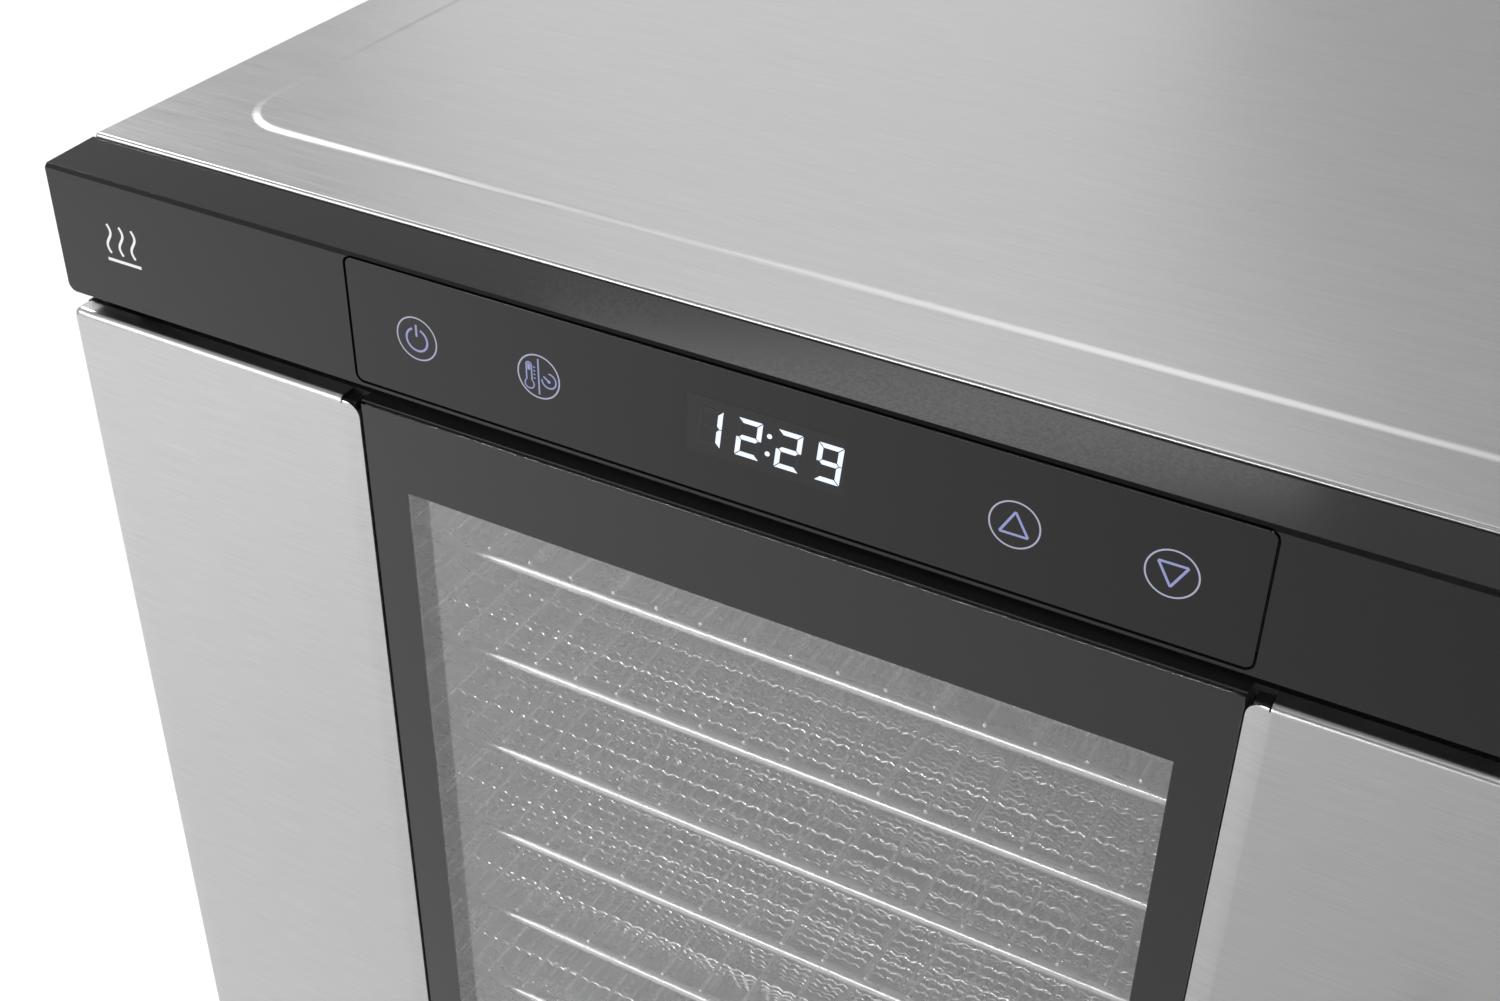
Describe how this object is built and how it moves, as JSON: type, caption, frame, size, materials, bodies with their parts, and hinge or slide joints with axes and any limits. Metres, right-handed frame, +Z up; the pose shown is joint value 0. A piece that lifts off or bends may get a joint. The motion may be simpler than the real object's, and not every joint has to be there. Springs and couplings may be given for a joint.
{
  "type": "food dehydrator",
  "caption": "Cabinet food dehydrator with a hinged glass door, stacked slide-in wire trays, a rear warm-air fan and a touch panel above the door.",
  "frame": {"origin": "centre of the whole footprint, handle included, at the height that the feet rest on", "axes": "+X to the right seen from the front, +Y from the door to the back, +Z up"},
  "size_m": [0.43, 0.506, 0.47],
  "materials": {
    "brushed_steel": "brushed from side to side",
    "galvanised_sheet": "plain satin sheet",
    "chromed_wire": "bright plated wire",
    "satin_black_plastic": "fine satin moulding",
    "gloss_black_panel": "high gloss",
    "clear_glass": "clear, with a black printed border",
    "black_rubber": "matt",
    "circuit_board": "solder mask",
    "heater_sheath": "oxidised metal sheath",
    "painted_motor": "black paint",
    "ceramic_body": "matt"
  },
  "bodies": {
    "cabinet": {"outer_cover": "brushed_steel", "base_pan": "galvanised_sheet", "rear_panel": "galvanised_sheet", "front_bezel": "satin_black_plastic", "control_glass": "gloss_black_panel", "display_module": "satin_black_plastic", "control_board": "circuit_board", "liner_shell": "galvanised_sheet", "rail_left": "galvanised_sheet", "rail_right": "galvanised_sheet", "fan_baffle": "galvanised_sheet", "fan_housing": "galvanised_sheet", "fan_motor": "painted_motor", "motor_bracket": "galvanised_sheet", "heater_element": "heater_sheath", "power_board": "circuit_board", "temperature_probe": "heater_sheath", "thermal_cutout": "ceramic_body", "terminal_block": "ceramic_body", "cord_gland": "satin_black_plastic", "hinge_bracket_top": "brushed_steel", "hinge_bracket_bottom": "brushed_steel", "foot_front_left": "black_rubber", "foot_front_right": "black_rubber", "foot_rear_left": "black_rubber", "foot_rear_right": "black_rubber", "rear_screw_top_left": "brushed_steel", "rear_screw_top_right": "brushed_steel", "rear_screw_bottom_left": "brushed_steel", "rear_screw_bottom_right": "brushed_steel"},
    "fan": {"fan_wheel": "galvanised_sheet", "fan_shaft": "brushed_steel"},
    "door": {"door_frame": "satin_black_plastic", "door_glass": "clear_glass", "door_cover_left": "brushed_steel", "door_cover_right": "brushed_steel", "door_gasket": "black_rubber", "door_magnet": "black_rubber", "hinge_pin_top": "brushed_steel", "hinge_pin_bottom": "brushed_steel", "handle_bar": "brushed_steel", "handle_post_top": "brushed_steel", "handle_post_bottom": "brushed_steel", "handle_screw_top": "brushed_steel", "handle_screw_bottom": "brushed_steel"},
    "tray_body_01": {"tray_01": "chromed_wire"},
    "tray_body_02": {"tray_02": "chromed_wire"},
    "tray_body_03": {"tray_03": "chromed_wire"},
    "tray_body_04": {"tray_04": "chromed_wire"},
    "tray_body_05": {"tray_05": "chromed_wire"},
    "tray_body_06": {"tray_06": "chromed_wire"},
    "tray_body_07": {"tray_07": "chromed_wire"},
    "tray_body_08": {"tray_08": "chromed_wire"},
    "tray_body_09": {"tray_09": "chromed_wire"},
    "tray_body_10": {"tray_10": "chromed_wire"},
    "crumb_tray_body": {"crumb_tray": "galvanised_sheet"}
  },
  "joints": [
    {"name": "door_hinge", "type": "hinge", "parent": "cabinet", "child": "door", "pos_m": [-0.21, -0.21, 0.2221], "axis": [0, 0, -1], "range_deg": [0, 105]},
    {"name": "fan_spin", "type": "hinge", "parent": "cabinet", "child": "fan", "pos_m": [0, 0.199, 0.221], "axis": [0, 1, 0], "continuous": true},
    {"name": "tray_01_slide", "type": "slide", "parent": "cabinet", "child": "tray_body_01", "axis": [0, -1, 0], "range_m": [-0.004, 0.0025]},
    {"name": "tray_02_slide", "type": "slide", "parent": "cabinet", "child": "tray_body_02", "axis": [0, -1, 0], "range_m": [-0.004, 0.0025]},
    {"name": "tray_03_slide", "type": "slide", "parent": "cabinet", "child": "tray_body_03", "axis": [0, -1, 0], "range_m": [-0.004, 0.0025]},
    {"name": "tray_04_slide", "type": "slide", "parent": "cabinet", "child": "tray_body_04", "axis": [0, -1, 0], "range_m": [-0.004, 0.0025]},
    {"name": "tray_05_slide", "type": "slide", "parent": "cabinet", "child": "tray_body_05", "axis": [0, -1, 0], "range_m": [-0.004, 0.0025]},
    {"name": "tray_06_slide", "type": "slide", "parent": "cabinet", "child": "tray_body_06", "axis": [0, -1, 0], "range_m": [-0.004, 0.0025]},
    {"name": "tray_07_slide", "type": "slide", "parent": "cabinet", "child": "tray_body_07", "axis": [0, -1, 0], "range_m": [-0.004, 0.0025]},
    {"name": "tray_08_slide", "type": "slide", "parent": "cabinet", "child": "tray_body_08", "axis": [0, -1, 0], "range_m": [-0.004, 0.0025]},
    {"name": "tray_09_slide", "type": "slide", "parent": "cabinet", "child": "tray_body_09", "axis": [0, -1, 0], "range_m": [-0.004, 0.0025]},
    {"name": "tray_10_slide", "type": "slide", "parent": "cabinet", "child": "tray_body_10", "axis": [0, -1, 0], "range_m": [-0.004, 0.0025]},
    {"name": "crumb_tray_slide", "type": "slide", "parent": "cabinet", "child": "crumb_tray_body", "axis": [0, -1, 0], "range_m": [-0.0025, 0.003]}
  ]
}
